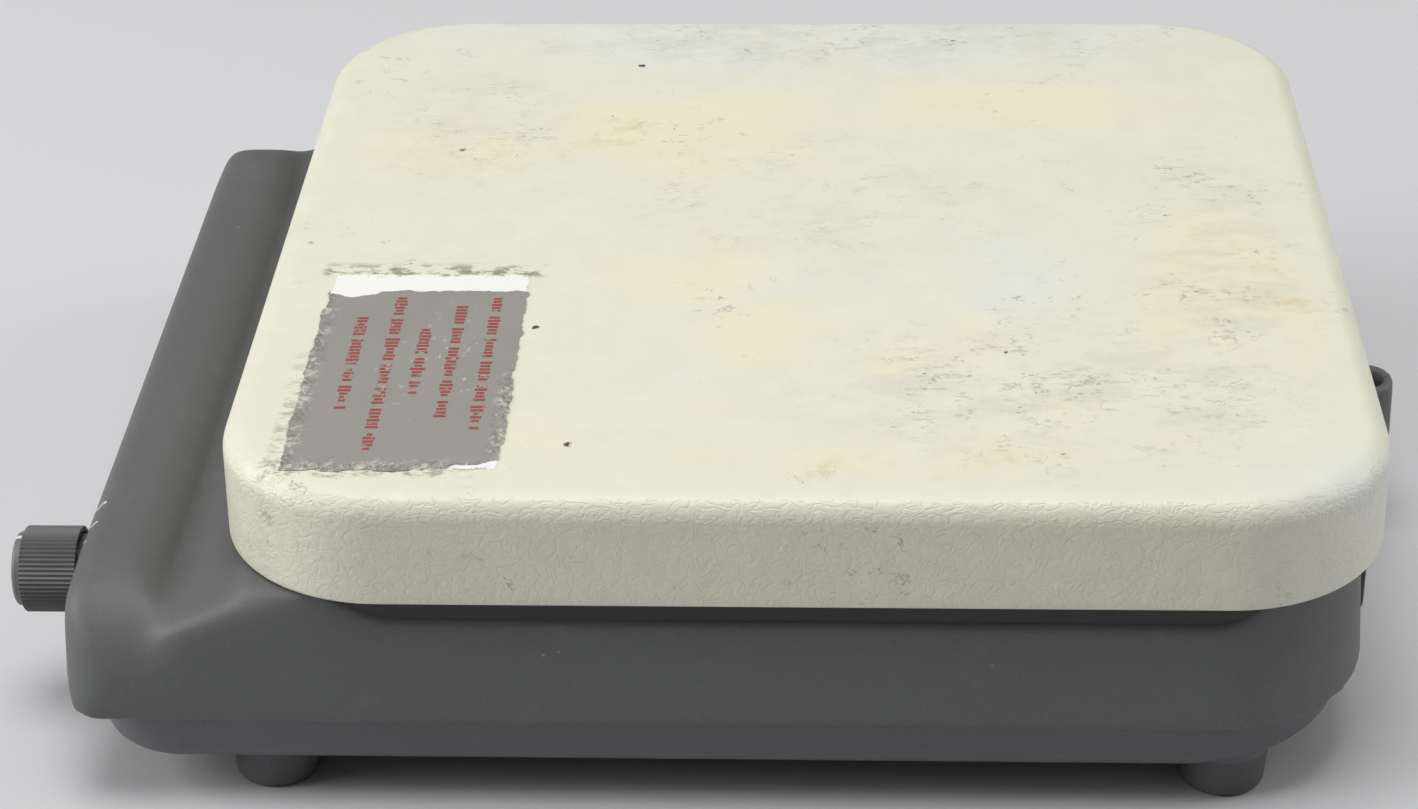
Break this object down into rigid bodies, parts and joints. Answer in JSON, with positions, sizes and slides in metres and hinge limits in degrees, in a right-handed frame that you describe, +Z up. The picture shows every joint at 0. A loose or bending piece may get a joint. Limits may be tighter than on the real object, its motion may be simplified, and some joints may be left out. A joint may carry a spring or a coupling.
{
  "type": "magnetic stirrer",
  "caption": "Low square magnetic stirrer: off-white enamelled plate on a dark sculpted housing, fluted speed knob on the front ridge, rod socket and power inlet at the rear.",
  "frame": {"origin": "on the bench plane, under the middle of the whole stirrer's box", "axes": "+Z up, -Y towards the user (dial side), +Y towards the rod socket and the power inlet, +X to the user's right"},
  "size_m": [0.184, 0.2336, 0.0595],
  "materials": {
    "plate_enamel": "semi-gloss off-white enamel with a fine orange-peel texture, stained and scuffed",
    "housing_paint": "matte dark grey powder coat, fine grain",
    "tray_paint": "matte dark grey powder coat, fine grain",
    "seal_rubber": "matte mid grey moulded seal",
    "foot_rubber": "matte dark grey rubber",
    "knob_plastic": "matte dark grey moulded plastic with fine flutes",
    "cap_plastic": "satin dark grey moulded plastic",
    "black_plastic": "matte black moulded plastic",
    "foil_label": "worn grey foil sticker with torn edges",
    "rating_foil": "blank brushed foil",
    "zinc_screw": "zinc plated steel",
    "black_screw": "blackened steel",
    "sheet_steel": "plated sheet steel",
    "lamination": "stacked silicon steel",
    "shaft_steel": "ground steel",
    "copper": "bare copper",
    "enamelled_wire": "enamelled winding wire under clear tape",
    "bobbin_nylon": "natural nylon",
    "sintered_bronze": "oil-filled sintered bronze",
    "brass": "turned brass",
    "cast_aluminium": "die-cast aluminium",
    "ferrite": "sintered ferrite magnet",
    "board": "green solder mask",
    "grey_plastic": "grey moulded plastic",
    "glass_tube": "clear glass"
  },
  "bodies": {
    "housing": {"top_plate": "plate_enamel", "plate_spacers": "seal_rubber", "plate_screws": "zinc_screw", "plate_gasket": "seal_rubber", "plate_label": "foil_label", "upper_housing": "housing_paint", "base_tray": "tray_paint", "foot_screws": "zinc_screw", "rating_label": "rating_foil", "potentiometer": "sheet_steel", "pot_terminals": "zinc_screw", "pot_washer": "zinc_screw", "pot_nut": "zinc_screw", "inlet_body": "black_plastic", "inlet_pins": "sheet_steel", "stator_core": "lamination", "shading_rings": "copper", "coil_bobbin": "bobbin_nylon", "stator_coil": "enamelled_wire", "motor_mount_plate": "sheet_steel", "motor_screws": "zinc_screw", "upper_bracket": "sheet_steel", "lower_bracket": "sheet_steel", "upper_bearing": "sintered_bronze", "lower_bearing": "sintered_bronze", "stator_bolts": "zinc_screw", "control_board": "board", "board_screws": "zinc_screw", "triac": "black_plastic", "heat_sink": "cast_aluminium", "capacitor": "grey_plastic", "fuse_link": "glass_tube", "suppression_choke": "copper", "terminal_block": "grey_plastic", "foot_front_left": "foot_rubber", "foot_front_right": "foot_rubber", "foot_rear_left": "foot_rubber", "foot_rear_right": "foot_rubber", "motor_grommet_1": "foot_rubber", "motor_grommet_2": "foot_rubber", "motor_grommet_3": "foot_rubber", "motor_grommet_4": "foot_rubber", "inlet_leads": "black_plastic", "motor_leads": "black_plastic", "dial_leads": "black_plastic"},
    "speed_knob": {"knob": "knob_plastic", "knob_cap": "cap_plastic", "knob_collet": "brass", "control_shaft": "shaft_steel"},
    "rotor": {"motor_shaft": "shaft_steel", "rotor_core": "lamination", "cage_rings": "cast_aluminium", "thrust_washers": "bobbin_nylon", "magnet_carrier": "cast_aluminium", "carrier_screw": "black_screw", "magnet_north": "ferrite", "magnet_south": "ferrite"},
    "rod_clamp": {"rod_clamp_screw": "black_screw"}
  },
  "joints": [
    {"name": "speed_knob_turn", "type": "hinge", "parent": "housing", "child": "speed_knob", "pos_m": [0.061, -0.1077, 0.0268], "axis": [0, -1, 0], "range_deg": [-270, 0]},
    {"name": "rotor_spin", "type": "hinge", "parent": "housing", "child": "rotor", "pos_m": [0, 0.0123, 0.03], "axis": [0, 0, 1], "continuous": true},
    {"name": "rod_clamp_travel", "type": "slide", "parent": "housing", "child": "rod_clamp", "axis": [1, 0, 0], "range_m": [0, 0.001]}
  ]
}
